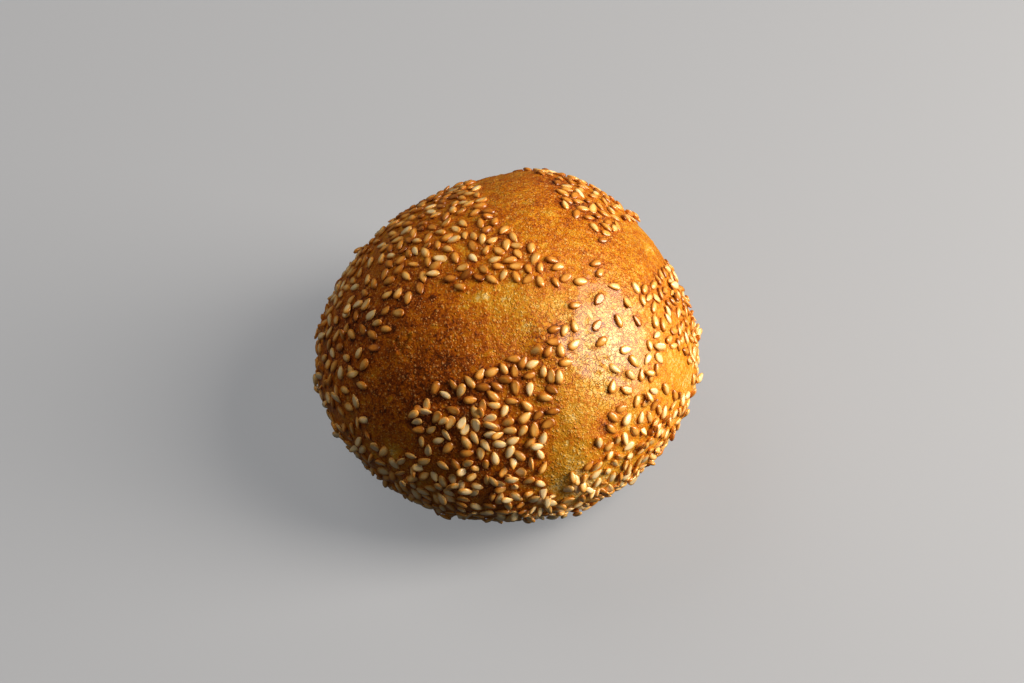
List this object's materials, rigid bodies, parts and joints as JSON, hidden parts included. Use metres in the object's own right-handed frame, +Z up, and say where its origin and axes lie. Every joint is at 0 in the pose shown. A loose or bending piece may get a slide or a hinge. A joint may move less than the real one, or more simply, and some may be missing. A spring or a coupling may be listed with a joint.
{
  "type": "bread roll",
  "caption": "Round bread roll with a domed, glazed golden-brown crust, bare patches between bands of toasted sesame seeds, and a flat base to rest on.",
  "frame": {"origin": "centre of the flat spot under the roll that it rests on", "axes": "+Z up through the crown, -Y towards the front, +X to the right"},
  "size_m": [0.0884, 0.088, 0.0572],
  "materials": {
    "crust": "satin",
    "sesame": "satin"
  },
  "bodies": {
    "root": {"bread_roll": "crust", "sesame_seed_01": "sesame", "sesame_seed_02": "sesame", "sesame_seed_03": "sesame", "sesame_seed_04": "sesame", "sesame_seed_05": "sesame", "sesame_seed_06": "sesame", "sesame_seed_07": "sesame", "sesame_seed_08": "sesame", "sesame_seed_09": "sesame", "sesame_seed_10": "sesame", "sesame_seed_11": "sesame", "sesame_seed_12": "sesame", "sesame_seed_13": "sesame", "sesame_seed_14": "sesame", "sesame_seed_15": "sesame", "sesame_seed_16": "sesame", "sesame_seed_17": "sesame", "sesame_seed_18": "sesame", "sesame_seed_19": "sesame", "sesame_seed_20": "sesame", "sesame_seed_21": "sesame", "sesame_seed_22": "sesame", "sesame_seed_23": "sesame", "sesame_seed_24": "sesame", "sesame_seed_25": "sesame", "sesame_seed_26": "sesame", "sesame_seed_27": "sesame", "sesame_seed_28": "sesame", "sesame_seed_29": "sesame", "sesame_seed_30": "sesame", "sesame_seed_31": "sesame", "sesame_seed_32": "sesame", "sesame_seed_33": "sesame", "sesame_seed_34": "sesame", "sesame_seed_35": "sesame", "sesame_seed_36": "sesame", "sesame_seed_37": "sesame", "sesame_seed_38": "sesame", "sesame_seed_39": "sesame", "sesame_seed_40": "sesame", "sesame_seed_41": "sesame", "sesame_seed_42": "sesame", "sesame_seed_43": "sesame", "sesame_seed_44": "sesame", "sesame_seed_45": "sesame", "sesame_seed_46": "sesame", "sesame_seed_47": "sesame", "sesame_seed_48": "sesame", "sesame_seed_49": "sesame", "sesame_seed_50": "sesame", "sesame_seed_51": "sesame", "sesame_seed_52": "sesame", "sesame_seed_53": "sesame", "sesame_seed_54": "sesame", "sesame_seed_55": "sesame", "sesame_seed_56": "sesame", "sesame_seed_57": "sesame", "sesame_seed_58": "sesame", "sesame_seed_59": "sesame"}
  },
  "joints": []
}
